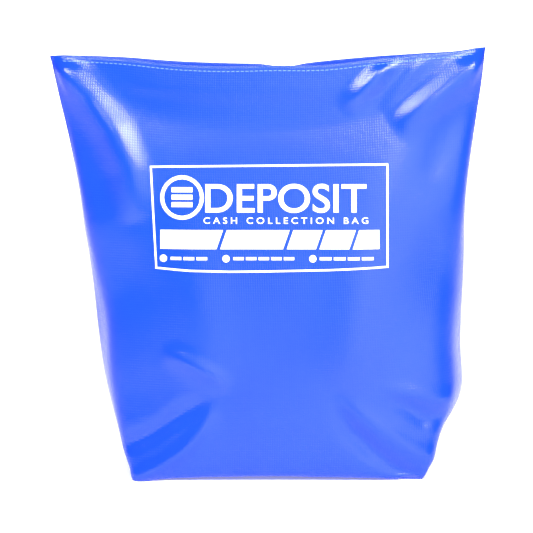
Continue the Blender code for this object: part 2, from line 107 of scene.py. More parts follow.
def mouth_half(share):
    """Half the mouth's width at a share of the half-width across."""
    return MOUTH_HALF * (1 - min(abs(share), 1) ** MOUTH_POWER) ** (1 / MOUTH_POWER)


def top_point(share, side):
    """Where a panel's folded top edge is held. side is -1 in front and 1 behind."""
    edge = FRONT_EDGE if side < 0 else BACK_EDGE
    return Vector((share * TOP_HALF, side * mouth_half(share), edge(share) * MM))


def wall_point(u, up, side):
    """A point of a panel stood up and folded round the base's corners, unstretched."""
    height = up * top_point(u / TOP_HALF, side).z
    fold = BASE_HALF + (BASE_DEPTH / 2) * up
    if abs(u) <= fold + 1e-9:
        return Vector((u, side * (BASE_DEPTH / 2) * (1 - up), height))
    past = (abs(u) - BASE_HALF) / (BASE_DEPTH / 2)
    x = BASE_HALF + (TOP_HALF - BASE_HALF) * up
    return Vector((math.copysign(x, u), side * (BASE_DEPTH / 2) * (1 - past), height))


def sewn_cloth():
    """The unfilled bag's vertices, each panel's wall and base grids of them, and the grids' columns."""
    corners, middle = round(BASE_DEPTH / 2 / CELL), round(2 * BASE_HALF / CELL)
    rows = round(HEIGHT / CELL)
    face = [-BASE_HALF + 2 * BASE_HALF * i / middle for i in range(middle + 1)]
    left = [-TOP_HALF + BASE_DEPTH / 2 * i / corners for i in range(corners)]
    columns = left + face + [-u for u in reversed(left)]
    places, index = [], {}

    def vertex(point):
        key = tuple(round(c, 6) + 0.0 for c in point)
        if key not in index:
            index[key] = len(places)
            places.append(point)
        return index[key]

    grids = {}
    for side in (-1, 1):
        wall = [[wall_point(u, j / rows, side) for u in columns] for j in range(rows)]
        wall.append([top_point(u / TOP_HALF, side) for u in columns])
        base = [[(x, side * BASE_DEPTH / 2 * j / corners, 0) for x in face] for j in range(corners + 1)]
        grids[side] = [[[vertex(p) for p in row] for row in grid] for grid in (wall, base)]
    return places, grids, columns, face


def grid_faces(grid, side):
    """The quads between a grid's rows, facing out of that panel."""
    faces = []
    for low, high in zip(grid, grid[1:]):
        for i in range(len(low) - 1):
            quad = (low[i], low[i + 1], high[i + 1], high[i])
            faces.append(quad if side < 0 else quad[::-1])
    return faces


def filled_bag(places, grids):
    """Each vertex of the sewn bag once the cloth has settled under a little pressure inside."""
    mesh = bpy.data.meshes.new("sewn_bag")
    faces = [f for side in (-1, 1) for grid in grids[side] for f in grid_faces(grid, side)]
    mesh.from_pydata(places, [], faces)
    bag = bpy.data.objects.new("sewn_bag", mesh)
    bpy.context.collection.objects.link(bag)
    held = sorted({v for side in (-1, 1) for v in grids[side][0][-1]})
    bag.vertex_groups.new(name="top_edges").add(held, 1.0, "REPLACE")
    bpy.ops.mesh.primitive_plane_add(size=1, location=(0, 0, -0.001))
    table = bpy.context.object
    table.modifiers.new("table", "COLLISION")
    table.collision.thickness_outer = 0.001
    cloth = bag.modifiers.new("cloth", "CLOTH")
    settings = cloth.settings
    settings.quality = 8
    settings.mass = 0.3
    settings.tension_stiffness = settings.compression_stiffness = 40
    settings.shear_stiffness = 20
    settings.bending_model = "ANGULAR"
    settings.bending_stiffness = 0.5
    settings.tension_damping = settings.compression_damping = settings.shear_damping = 10
    settings.bending_damping = 1
    settings.air_damping = 2
    settings.use_pressure = True
    settings.uniform_pressure_force = 1.6
    settings.vertex_group_mass = "top_edges"
    settings.effector_weights.gravity = 0
    cloth.collision_settings.distance_min = 0.001
    for step in range(1, 61):
        bpy.context.scene.frame_set(step)
    settled = bag.evaluated_get(bpy.context.evaluated_depsgraph_get()).data
    found = [v.co.copy() for v in settled.vertices]
    bpy.data.objects.remove(bag)
    bpy.data.objects.remove(table)
    bpy.context.scene.frame_set(1)
    return found


def eased(settled, grids, rounds=10):
    """The settled places with the fine puckers beside the side seams eased out.

    The coated cloth is stiffer than the simulated one. The top edges and the base keep their places.
    """
    places = list(settled)
    for _ in range(rounds):
        before = list(places)
        for side in (-1, 1):
            wall = grids[side][0]
            for j in range(1, len(wall) - 1):
                for i, v in enumerate(wall[j]):
                    around = [wall[j - 1][i], wall[j + 1][i]]
                    if 0 < i < len(wall[j]) - 1:
                        around += [wall[j][i - 1], wall[j][i + 1]]
                    middle = sum((before[k] for k in around), Vector()) / len(around)
                    places[v] = before[v].lerp(middle, 0.6 * min(j / 10, 1))
    return places


def baked(obj):
    """The object's mesh with its modifiers worked in. The object itself is removed."""
    bpy.context.view_layer.update()
    mesh = bpy.data.meshes.new_from_object(obj.evaluated_get(bpy.context.evaluated_depsgraph_get()))
    mesh.transform(obj.matrix_world)
    bpy.data.objects.remove(obj)
    return mesh


def panel_mesh(settled, grids, columns, face, side):
    """One panel of the filled bag, finer, with its top edge folded in and down.

    Its UV map holds each point's place on the flat cut, in metres.
    """
    wall, base = grids[side]
    places = list(settled)
    for row in wall[:-1]:
        for v in row:
            places[v] = spread_under_mouth(settled[v], side)
    rows = [list(row) for row in wall]
    for turn, drop in [(45, 0), (90, 0), (135, 0), (180, 0), (180, 3.5 * MM), (180, HEM_DEPTH)]:
        row = []
        for start in wall[-1]:
            top = settled[start]
            share = top.x / TOP_HALF
            radius = min(HEM_RADIUS, max(mouth_half(share) / 2 - 0.1 * MM, 0.05 * MM))
            y = -side * radius * (1 - math.cos(math.radians(turn)))
            z = radius * math.sin(math.radians(turn)) - drop
            places.append(top + Vector((-0.3 * share * drop, y, z)))
            row.append(len(places) - 1)
        rows.append(row)
    step = HEIGHT / (len(wall) - 1)
    wall_cut = [[(u, j * step) for u in columns] for j in range(len(rows))]
    levels = [-BASE_DEPTH / 2 * (1 - j / (len(base) - 1)) for j in range(len(base))]
    base_cut = [[(x, level) for x in face] for level in levels]
    bm = bmesh.new()
    cut_place = bm.loops.layers.uv.new("flat_cut")
    verts = [bm.verts.new(p) for p in places]
    for grid, cuts in ((rows, wall_cut), (base, base_cut)):
        for quad, corners in zip(grid_faces(grid, side), grid_faces(cuts, side)):
            for loop, corner in zip(bm.faces.new([verts[i] for i in quad]).loops, corners):
                loop[cut_place].uv = corner
    bmesh.ops.delete(bm, geom=[v for v in bm.verts if not v.link_faces], context="VERTS")
    mesh = bpy.data.meshes.new("panel")
    bm.to_mesh(mesh)
    bm.free()
    panel = bpy.data.objects.new("panel", mesh)
    bpy.context.collection.objects.link(panel)
    finer = panel.modifiers.new("finer", "SUBSURF")
    finer.levels = finer.render_levels = 1
    return baked(panel)


# How the standing bag leans and how far each side has filled out, in mm by height.
LEAN = curve_through([(0, 4.8), (30, 5.2), (60, 5.4), (100, 4.0), (150, 2.0), (200, 0), (250, 0)])
LEFT_SIDE = curve_through([
    (0, -0.5), (10, 2.3), (27, 5.2), (45, 5.6), (60, 5.2), (80, 3.4), (106, 1.0), (130, 0), (250, 0),
])
RIGHT_SIDE = curve_through([
    (0, 1.5), (10, 6.4), (20, 8.4), (30, 10.2), (40, 13.2), (52, 13.0), (60, 11.2), (72, 8.6), (90, 6.6),
    (110, 5.6), (140, 5.0), (180, 5.2), (210, 4.0), (232, 2.0), (250, 0),
])
# How far the middle of the base's edges is lifted, in mm: the lift, its half-width and the height
# over which it fades.
BOW_RISE, BOW_HALF, BOW_FADE = 2.4, 80, 12
# How much further each side stands out for each unit of height.
SIDE_SLOPE = 0.17
# The folds that the front took when it was filled: tension folds from the top corners, creases and
# dents over the base corners, and broad waves down the middle. Each runs through points (across, up)
# in mm, with its half-width and how far it stands out.
FRONT_FOLDS = [
    ([(-141, 260), (-127, 245), (-113, 231), (-102, 218), (-90, 201), (-81, 180), (-76, 150)], 9.5, 5.8),
    ([(-141, 258), (-127, 243), (-104, 220)], 4.5, 1.2),
    ([(-124, 224), (-116, 210), (-104, 184), (-94, 150)], 10.0, -1.3),
    ([(145, 259), (129, 246), (117, 236), (108, 229), (95, 219), (74, 204)], 8.5, 5.6),
    ([(145, 259), (129, 246), (110, 230)], 4.5, 1.0),
    ([(120, 222), (112, 210), (102, 194), (92, 176)], 9.0, -1.3),
    ([(82, 256), (71, 243), (60, 229), (44, 214)], 5.5, 3.6),
    ([(97, 252), (88, 241), (77, 227), (66, 214)], 4.0, 1.2),
    ([(-104, 16), (-88, 20), (-70, 28), (-54, 39), (-36, 52)], 4.5, -2.4),
    ([(-90, -6), (-77, 3), (-62, 11), (-48, 21), (-38, 33), (-31, 48)], 4.5, 2.6),
    ([(114, 8), (98, 14), (79, 23), (62, 35), (40, 50)], 5.0, 2.2),
    ([(104, -6), (91, 2), (74, 9), (60, 20), (48, 32), (40, 48)], 5.0, -4.0),
    ([(124, 45), (112, 47), (92, 51), (66, 57)], 4.5, 1.8),
    ([(124, 38), (112, 38), (92, 38), (72, 50)], 5.0, -2.6),
    ([(-60, 77), (-48, 72), (-36, 66), (-22, 58)], 5.0, 2.2),
    ([(66, 140), (62, 130), (52, 95), (44, 55)], 18.0, 1.4),
    ([(-48, 138), (-46, 128), (-40, 95), (-32, 60)], 18.0, 1.2),
]


def fold_share(x, z, line, half_width):
    """1 on the line of a fold, falling smoothly to nothing beside it and towards its ends."""
    nearest, place, passed = math.inf, 0, 0
    for (ax, az), (bx, bz) in zip(line, line[1:]):
        length = math.hypot(bx - ax, bz - az)
        t = min(max(((x - ax) * (bx - ax) + (z - az) * (bz - az)) / length**2, 0), 1)
        away = math.hypot(x - ax - t * (bx - ax), z - az - t * (bz - az))
        if away < nearest:
            nearest, place = away, passed + t * length
        passed += length
    return math.exp(-((nearest / half_width) ** 2)) * (1 - abs(2 * place / passed - 1) ** 3)


def spread_under_mouth(point, side):
    """Below the top edges the walls never stand closer than the open mouth does."""
    share = min(abs(point.x) / (TOP_HALF - SIDE_SLOPE * (HEIGHT - point.z)), 1)
    drop = top_point(share if point.x > 0 else -share, side).z - point.z
    if drop <= 0 or abs(point.y) < 0.05 * MM:
        return point
    least = mouth_half(share) + 0.22 * drop * (1 - share**2)
    near_edge = min(max((34 * MM - drop) / (20 * MM), 0), 1)
    lack = max(least - abs(point.y), 0) * near_edge
    return Vector((point.x, point.y + side * lack, point.z))


def shaped(point, normal):
    """A point of the filled bag, leaned, filled out and folded as the bag stands.

    The folds die out at the top edge and at the side seams, and nothing sinks below the floor.
    """
    x, z = point.x / MM, point.z / MM
    fill = LEFT_SIDE(z) if x < 0 else RIGHT_SIDE(z)
    reach = min(abs(x) / (BASE_HALF / MM + SIDE_SLOPE * z), 1.1)
    x += LEAN(z) + math.copysign(fill * reach**2.5, x)
    out = 0
    if point.y < 0 and normal.y < -0.2:
        out = sum(depth * fold_share(x, z, line, wide) for line, wide, depth in FRONT_FOLDS)
        below_edge = FRONT_EDGE(x * MM / TOP_HALF) - z
        out *= min(max((below_edge - 1) / 5, 0), 1) * min(max((1 - reach) / 0.05, 0), 1)
    bow = BOW_RISE * max(0, 1 - ((x - LEAN(z)) / BOW_HALF) ** 2) * math.exp(-z / BOW_FADE)
    height = max(point.z - REST_GAP, 0) * HEIGHT / (HEIGHT - REST_GAP)
    place = Vector((x * MM, point.y, height + bow * MM)) + normal * out * MM
    return Vector((place.x, place.y, max(place.z, 0)))


def linear(hexcode):
    """An sRGB hex colour as the linear colour the shaders take."""
    parts = [int(hexcode[i : i + 2], 16) / 255 for i in (0, 2, 4)]
    return (*[p / 12.92 if p <= 0.04045 else ((p + 0.055) / 1.055) ** 2.4 for p in parts], 1.0)


def node(tree, kind, settings=None, links=None):
    """Adds a node. settings sets its properties and unlinked sockets, links joins its inputs up."""
    made = tree.nodes.new(kind)
    for key, value in (settings or {}).items():
        if isinstance(key, str) and hasattr(made, key):
            setattr(made, key, value)
        else:
            made.inputs[key].default_value = value
    for key, source in (links or {}).items():
        tree.links.new(source, made.inputs[key])
    return made


def new_material(name):
    """A new material, its node tree and its main shader."""
    material = bpy.data.materials.new(name)
    material.use_nodes = True
    return material, material.node_tree, material.node_tree.nodes["Principled BSDF"]


def add_piece(name, mesh, material, body="bag", replaces=()):
    """A finished piece of one material that rides on a body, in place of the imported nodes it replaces."""
    piece = bpy.data.objects.new(name, mesh)
    bpy.context.collection.objects.link(piece)
    mesh.materials.clear()
    mesh.materials.append(material)
    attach(piece, body)
    if replaces:
        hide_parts(*replaces)
    return piece


# Glossy PVC coating over a plain weave, its threads 1.35 mm apart across and 1.5 mm apart up the
# cloth. They show through as low bumps, so a highlight breaks into rows of small bright dots.
THREADS_ACROSS, THREADS_UP = 1.35 * MM, 1.5 * MM
coated_cloth, tree, shader = new_material("pvc_coated_weave")
place = node(tree, "ShaderNodeTexCoord").outputs["Object"]
flat_cut = node(tree, "ShaderNodeUVMap", {"uv_map": "flat_cut"}).outputs["UV"]
axes = node(tree, "ShaderNodeSeparateXYZ", None, {"Vector": flat_cut})


def threads(axis, pitch):
    """A wave along the flat cut that rises and falls over two threads."""
    turn = node(tree, "ShaderNodeMath", {"operation": "MULTIPLY", 1: math.pi / pitch}, {0: axis})
    return node(tree, "ShaderNodeMath", {"operation": "SINE"}, {0: turn.outputs[0]}).outputs[0]


across, up = threads(axes.outputs["X"], THREADS_ACROSS), threads(axes.outputs["Y"], THREADS_UP)
weave = node(tree, "ShaderNodeMath", {"operation": "MULTIPLY"}, {0: across, 1: up})
relief = node(tree, "ShaderNodeMath", {"operation": "ABSOLUTE"}, {0: weave.outputs[0]})
# The coating lies a little unevenly every 5 mm or so, and its blue shifts slightly every 45 mm.
fine = node(tree, "ShaderNodeTexNoise", {"Scale": 180.0, "Detail": 3.0}, {"Vector": place})
broad = node(tree, "ShaderNodeTexNoise", {"Scale": 22.0, "Detail": 2.0}, {"Vector": place})
weave_bump = node(
    tree, "ShaderNodeBump", {"Strength": 0.6, "Distance": 0.10 * MM}, {"Height": relief.outputs[0]}
)
pulls = node(
    tree, "ShaderNodeBump", {"Strength": 0.25, "Distance": 0.5 * MM},
    {"Height": fine.outputs["Fac"], "Normal": weave_bump.outputs["Normal"]},
)
tint = node(tree, "ShaderNodeMix", {"data_type": "RGBA", 6: linear("103dd8"), 7: linear("1645e4")},
            {0: broad.outputs["Fac"]})
tree.links.new(tint.outputs[2], shader.inputs["Base Color"])
tree.links.new(pulls.outputs["Normal"], shader.inputs["Normal"])
shader.inputs["Roughness"].default_value = 0.16

cut, cut_grids, columns, face = sewn_cloth()
settled = eased(filled_bag(cut, cut_grids), cut_grids)
# Each panel's outer face, for laying ink and stitches on, and its finished piece.
surfaces, panels = {}, {}
for side, name in ((-1, "front_panel"), (1, "back_panel")):
    mesh = panel_mesh(settled, cut_grids, columns, face, side)
    normals = [v.normal.copy() for v in mesh.vertices]
    for vert, normal in zip(mesh.vertices, normals):
        vert.co = shaped(vert.co.copy(), normal)
    bm = bmesh.new()
    bm.from_mesh(mesh)
    surfaces[side] = BVHTree.FromBMesh(bm)
    bm.free()
    skin = bpy.data.objects.new("skin", mesh)
    bpy.context.collection.objects.link(skin)
    thick = skin.modifiers.new("cloth_thickness", "SOLIDIFY")
    thick.thickness = CLOTH
    thick.offset = -1
    mesh = baked(skin)
    mesh.shade_smooth()
    panel = add_piece(name + "_cloth", mesh, coated_cloth, replaces=[name])
    panels[side] = panel

# ---- The printed patch ----------------------------------------------------------------------
# White ink screened on the front panel: a thin frame, a coin badge, two lines of plain words,
# a row of slanted tabs and a line of small bars. It is a skin of ink on the cloth's surface.

# Opaque screen ink, half-matt: it stays evenly white where the cloth beside it shines, with a
# grain of about a millimetre where the weave took less of it.
ink, tree, shader = new_material("white_screen_ink")
place = node(tree, "ShaderNodeTexCoord").outputs["Object"]
grain = node(tree, "ShaderNodeTexNoise", {"Scale": 900.0, "Detail": 2.0}, {"Vector": place})
ink_tint = node(tree, "ShaderNodeMix", {"data_type": "RGBA", 6: linear("e9eefc"), 7: linear("ffffff")},
                {0: grain.outputs["Fac"]})
tree.links.new(ink_tint.outputs[2], shader.inputs["Base Color"])
shader.inputs["Roughness"].default_value = 0.45

# The ink's cells are small enough to follow the cloth, and it stands just clear of the face.
INK_STEP, INK_LIFT = 3 * MM, 0.12 * MM


def on_front(bm):
    """Cuts a flat drawing in X and Z into small cells and lays it on the front panel."""
    for axis in (0, 2):
        values = [v.co[axis] for v in bm.verts]
        first, last = math.ceil(min(values) / INK_STEP), math.floor(max(values) / INK_STEP)
        for k in range(first, last + 1):
            spot, across = Vector((0, 0, 0)), Vector((0, 0, 0))
            spot[axis], across[axis] = k * INK_STEP, 1
            bmesh.ops.bisect_plane(
                bm, geom=[*bm.verts, *bm.edges, *bm.faces], plane_co=spot, plane_no=across, dist=1e-7
            )
    for vert in bm.verts:
        start = Vector((vert.co.x, -0.2, vert.co.z))
        hit, normal, _, _ = surfaces[-1].ray_cast(start, Vector((0, 1, 0)))
        vert.co = hit + normal * INK_LIFT


def flat_shape(bm, points):
    """A flat face through (across, up) points in mm."""
    bm.faces.new([bm.verts.new((x * MM, 0, z * MM)) for x, z in points])


def disc_points(x, z, radius, sides=28):
    turns = [2 * math.pi * k / sides for k in range(sides)]
    return [(x + radius * math.cos(t), z + radius * math.sin(t)) for t in turns]


def stroke(bm, points, width):
    """A line of even width: a bar to each segment, run on past both ends by half the width."""
    for (ax, az), (bx, bz) in zip(points, points[1:]):
        length = math.hypot(bx - ax, bz - az)
        nx, nz = -(bz - az) / length * width / 2, (bx - ax) / length * width / 2
        ex, ez = (bx - ax) / length * width / 2, (bz - az) / length * width / 2
        flat_shape(bm, [
            (ax - nx - ex, az - nz - ez), (bx - nx + ex, bz - nz + ez),
            (bx + nx + ex, bz + nz + ez), (ax + nx - ex, az + nz - ez),
        ])


def words(text, left, right, base, height, bold):
    """Plain capitals that fill the width from left to right, in mm, as a flat mesh."""
    curve = bpy.data.curves.new("words", "FONT")
    curve.body = text
    curve.offset = bold
    obj = bpy.data.objects.new("words", curve)
    bpy.context.collection.objects.link(obj)
    mesh = baked(obj)
    places = np.array([v.co for v in mesh.vertices])
    low, high = places.min(0), places.max(0)
    bm = bmesh.new()
    bm.from_mesh(mesh)
    for vert in bm.verts:
        x = left + (vert.co.x - low[0]) / (high[0] - low[0]) * (right - left)
        z = base + (vert.co.y - low[1]) / (high[1] - low[1]) * height
        vert.co = Vector((x * MM, 0, z * MM))
    mesh.clear_geometry()
    bm.to_mesh(mesh)
    bm.free()
    return mesh


drawing = bmesh.new()
# The frame, whose lower line sags a little with the cloth.
FRAME = [
    (-67.6, 181.4), (69.2, 182.8), (69.2, 124.6), (36, 123.0),
    (0, 122.2), (-22, 122.0), (-45, 122.6), (-64.4, 123.8),
]
stroke(drawing, FRAME + FRAME[:1], 1.1)
# The badge: a ring round three bars, as coins in a stack.
badge_x, badge_z = -49.5, 164.0
outer, inner = disc_points(badge_x, badge_z, 12.6), disc_points(badge_x, badge_z, 10.4)
for k in range(len(outer)):
    n = (k + 1) % len(outer)
    flat_shape(drawing, [outer[k], outer[n], inner[n], inner[k]])
for level in range(3):
    z = badge_z - 5.4 + 4.2 * level
    left, right = badge_x - 6, badge_x + 6
    flat_shape(drawing, [(left, z), (right, z), (right, z + 2.8), (left, z + 2.8)])
for mesh in (
    words("DEPOSIT", -36, 57, 155.4, 16.4, 0.010),
    words("C A S H   C O L L E C T I O N   B A G", -37, 58, 149.2, 3.6, 0.004),
):
    drawing.from_mesh(mesh)
# The slanted tabs, by the upper and lower place of each end.
TAB_ENDS = [(-62.0, -62.0), (-25.8, -29.6), (-23.6, -27.4), (12.6, 8.8), (14.8, 11.0), (31.6, 27.8),
            (33.6, 29.8), (50.8, 47.0), (52.8, 49.0), (64.4, 64.4)]
for (top_a, low_a), (top_b, low_b) in zip(TAB_ENDS[::2], TAB_ENDS[1::2]):
    flat_shape(drawing, [(low_a, 134.8), (low_b, 134.8), (top_b, 145.6), (top_a, 145.6)])
# Three dots, each with a line of small bars after it.
for x, start, end in ((-60.2, -56.0, -33.6), (-24.0, -19.8, 16.6), (26.0, 30.0, 62.4)):
    flat_shape(drawing, disc_points(x, 129.4, 2.1))
    bars = round((end - start) / 7.5)
    for k in range(bars):
        left = start + k * (end - start) / bars
        right = left + (end - start) / bars - 1.3
        flat_shape(drawing, [(left, 128.6), (right, 128.6), (right, 130.3), (left, 130.3)])
bmesh.ops.triangulate(drawing, faces=drawing.faces)
on_front(drawing)
bmesh.ops.dissolve_degenerate(drawing, dist=1e-6, edges=drawing.edges)
ink_mesh = bpy.data.meshes.new("printed_patch")
drawing.to_mesh(ink_mesh)
drawing.free()
ink_mesh.shade_smooth()
add_piece("printed_patch", ink_mesh, ink)

# ---- Stitching along the top edges ----------------------------------------------------------
# A row of light blue thread through each folded edge, 2.7 mm to a stitch. Each stitch dips into
# the cloth at both ends. One node group lays a piece again and again along any line.

# Twisted polyester thread: a soft sheen, broken by slanting ridges 0.7 mm apart along it. A wave
# across the diagonal repeats every pi / 5 of its scale's unit, and one along an axis every pi / 10.
TWIST_PITCH = 0.698 * MM
thread, tree, shader = new_material("twisted_polyester_thread")
place = node(tree, "ShaderNodeTexCoord").outputs["Object"]
twist = node(
    tree, "ShaderNodeTexWave", {"Scale": math.pi / 5 / TWIST_PITCH, "bands_direction": "DIAGONAL"},
    {"Vector": place},
)
twist_bump = node(
    tree, "ShaderNodeBump", {"Strength": 0.5, "Distance": 0.05 * MM}, {"Height": twist.outputs["Fac"]}
)
shader.inputs["Base Color"].default_value = linear("6f95f0")
shader.inputs["Roughness"].default_value = 0.55
tree.links.new(twist_bump.outputs["Normal"], shader.inputs["Normal"])


def repeat_group():
    """Geometry nodes that repeat a piece along a line, its own X axis turned along the line."""
    group = bpy.data.node_groups.new("repeat_along_line", "GeometryNodeTree")
    made = {"Line": group.interface.new_socket("Line", in_out="INPUT", socket_type="NodeSocketGeometry")}
    for name, kind in (("Piece", "Object"), ("Pitch", "Float"), ("Material", "Material")):
        made[name] = group.interface.new_socket(name, in_out="INPUT", socket_type="NodeSocket" + kind)
    group.interface.new_socket("Geometry", in_out="OUTPUT", socket_type="NodeSocketGeometry")
    start = node(group, "NodeGroupInput").outputs
    curve = node(group, "GeometryNodeMeshToCurve", None, {"Mesh": start["Line"]})
    spaced = node(
        group, "GeometryNodeResampleCurve", {"mode": "LENGTH"},
        {"Curve": curve.outputs["Curve"], "Length": start["Pitch"]},
    )
    along = node(group, "GeometryNodeInputTangent")
    turned = node(
        group, "FunctionNodeAlignRotationToVector", {"axis": "X"}, {"Vector": along.outputs["Tangent"]}
    )
    piece = node(group, "GeometryNodeObjectInfo", None, {"Object": start["Piece"]})
    copies = node(
        group, "GeometryNodeInstanceOnPoints", None,
        {"Points": spaced.outputs["Curve"], "Instance": piece.outputs["Geometry"],
         "Rotation": turned.outputs["Rotation"]},
    )
    real = node(group, "GeometryNodeRealizeInstances", None, {"Geometry": copies.outputs["Instances"]})
    painted = node(
        group, "GeometryNodeSetMaterial", None,
        {"Geometry": real.outputs["Geometry"], "Material": start["Material"]},
    )
    node(group, "NodeGroupOutput", None, {"Geometry": painted.outputs["Geometry"]})
    return group, {name: socket.identifier for name, socket in made.items()}


repeat, repeat_inputs = repeat_group()


def repeated(piece, line, pitch, material):
    """A mesh of the piece laid along the line of points, one every pitch."""
    mesh = bpy.data.meshes.new("line")
    mesh.from_pydata(line, [(i, i + 1) for i in range(len(line) - 1)], [])
    obj = bpy.data.objects.new("line", mesh)
    bpy.context.collection.objects.link(obj)
    rows = obj.modifiers.new("repeat", "NODES")
    rows.node_group = repeat
    rows[repeat_inputs["Piece"]] = piece
    rows[repeat_inputs["Pitch"]] = pitch
    rows[repeat_inputs["Material"]] = material
    mesh = baked(obj)
    mesh.shade_smooth()
    return mesh


def pattern_piece(name, mesh):
    """A shape to repeat or to cut with, which isn't part of the bag itself."""
    piece = bpy.data.objects.new(name, mesh)
    bpy.context.collection.objects.link(piece)
    piece.hide_render = True
    return piece


STITCH, THREAD_RADIUS = 2.7 * MM, 0.23 * MM
bm = bmesh.new()
bmesh.ops.create_uvsphere(bm, u_segments=8, v_segments=8, radius=1)
bmesh.ops.rotate(bm, verts=bm.verts, matrix=Matrix.Rotation(math.pi / 2, 3, "Y"))
bmesh.ops.scale(bm, verts=bm.verts, vec=(STITCH * 0.42, THREAD_RADIUS, THREAD_RADIUS))
stitch_mesh = bpy.data.meshes.new("stitch")
bm.to_mesh(stitch_mesh)
bm.free()
stitch = pattern_piece("stitch", stitch_mesh)


def edge_line(side, below, reach=0.93, count=120):
    """Points on a panel's outer face, this far below its top edge."""
    line = []
    for k in range(count + 1):
        share = reach * (2 * k / count - 1)
        top = top_point(share, side)
        start = Vector((top.x, side * 0.2, top.z - below))
        hit, normal, _, _ = surfaces[side].ray_cast(start, Vector((0, -side, 0)))
        line.append(hit)
    return line


for side, name in ((-1, "front_top_stitching"), (1, "back_top_stitching")):
    mesh = repeated(stitch, edge_line(side, 2.4 * MM), STITCH, thread)
    add_piece(name + "_thread", mesh, thread, replaces=[name])

# ---- The zip --------------------------------------------------------------------------------
# A nylon coil zip lying level between the two hems: woven tapes sewn to the hems, two coils of
# one wound thread each meshed down the middle, nickel-plated stops, slider and pull tab, and a
# strip of the bag's cloth across each end.

tape_low, tape_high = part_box("front_zip_tape")
coil_low, coil_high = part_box("front_zip_coil")
TAPE_Z, TAPE_END, TAPE_THICKNESS = coil_low[2] - 0.55 * MM, tape_high[0], 0.4 * MM
COIL_Z, COIL_END = (coil_low[2] + coil_high[2]) / 2, coil_high[0]

# Woven polyester tape: matt, with fine ribs across it, 0.75 mm apart.
RIB_PITCH = 0.748 * MM
woven_tape, tree, shader = new_material("woven_polyester_tape")
place = node(tree, "ShaderNodeTexCoord").outputs["Object"]
ribs = node(
    tree, "ShaderNodeTexWave", {"Scale": math.pi / 10 / RIB_PITCH, "bands_direction": "X"}, {"Vector": place}
)
rib_bump = node(
    tree, "ShaderNodeBump", {"Strength": 0.6, "Distance": 0.08 * MM}, {"Height": ribs.outputs["Fac"]}
)
shader.inputs["Base Color"].default_value = linear("1f46a8")
shader.inputs["Roughness"].default_value = 0.85
tree.links.new(rib_bump.outputs["Normal"], shader.inputs["Normal"])

# Nylon thread wound hot into a coil: smooth and half-glossy, its blue uneven every 2 mm or so.
nylon, tree, shader = new_material("heat_set_nylon_coil")
place = node(tree, "ShaderNodeTexCoord").outputs["Object"]
mottle = node(tree, "ShaderNodeTexNoise", {"Scale": 500.0}, {"Vector": place})
nylon_tint = node(tree, "ShaderNodeMix", {"data_type": "RGBA", 6: linear("2348ab"), 7: linear("2c55bd")},
                  {0: mottle.outputs["Fac"]})
tree.links.new(nylon_tint.outputs[2], shader.inputs["Base Color"])
shader.inputs["Roughness"].default_value = 0.4


def loft(rows, closed=False):
    """A mesh of quads between rows of points, with each row joined end to end if closed."""
    bm = bmesh.new()
    verts = [[bm.verts.new(p) for p in row] for row in rows]
    for low, high in zip(verts, verts[1:]):
        for i in range(len(low) if closed else len(low) - 1):
            n = (i + 1) % len(low)
            bm.faces.new((low[i], low[n], high[n], high[i]))
    if closed:
        bm.faces.new(verts[0][::-1])
        bm.faces.new(verts[-1])
    bmesh.ops.recalc_face_normals(bm, faces=bm.faces)
    mesh = bpy.data.meshes.new("loft")
    bm.to_mesh(mesh)
    bm.free()
    mesh.shade_smooth()
    return mesh


for side, name in ((-1, "front_zip_tape"), (1, "back_zip_tape")):
    rows = []
    for k in range(49):
        x = -TAPE_END + 2 * TAPE_END * k / 48
        edge = top_point(x / TOP_HALF, side)
        wall = abs(edge.y) - 2 * HEM_RADIUS - 0.45 * MM
        level = min(4.7 * MM, wall - 0.5 * MM)
        half = TAPE_THICKNESS / 2
        line = [(0.55 * MM, TAPE_Z), (level, TAPE_Z), (wall, TAPE_Z + 1.5 * MM), (wall, edge.z - 3 * MM)]
        over = [(y - (half if i > 1 else 0), z + (half if i < 2 else 0)) for i, (y, z) in enumerate(line)]
        under = [(y + (half if i > 1 else 0), z - (half if i < 2 else 0)) for i, (y, z) in enumerate(line)]
        rows.append([Vector((x, side * y, z)) for y, z in over + under[::-1]])
    add_piece(name + "_woven", loft(rows, closed=True), woven_tape, replaces=[name])

COIL_PITCH, WIRE_RADIUS, COIL_MARGIN = 1.25 * MM, 0.24 * MM, 0.8 * MM
# A loop is an oval that leans along the zip: its middle's distance from the zip's, and half its
# width, height and lean.
LOOP_OFF, LOOP_WIDE, LOOP_HIGH, LOOP_LEAN = 1.75 * MM, 1.2 * MM, 0.66 * MM, 0.30 * MM
for side, name in ((-1, "front_zip_coil"), (1, "back_zip_coil")):
    rows = []
    for k in range(13):
        turn = 2 * math.pi * k / 12
        y = LOOP_OFF + LOOP_WIDE * math.cos(turn)
        centre = Vector((LOOP_LEAN * math.sin(turn), side * y, LOOP_HIGH * math.sin(turn)))
        out = Vector((0, side * math.cos(turn), math.sin(turn)))
        row = []
        for j in range(6):
            a = 2 * math.pi * j / 6
            row.append(centre + WIRE_RADIUS * (out * math.cos(a) + Vector((math.sin(a), 0, 0))))
        rows.append(row)
    loop = pattern_piece(name + "_loop", loft(rows, closed=True))
    start = -COIL_END + COIL_MARGIN + (COIL_PITCH / 2 if side > 0 else 0)
    line = [(start, 0, COIL_Z), (COIL_END - COIL_MARGIN, 0, COIL_Z)]
    mesh = repeated(loop, line, COIL_PITCH, nylon)
    add_piece(name + "_wound", mesh, nylon, replaces=[name])

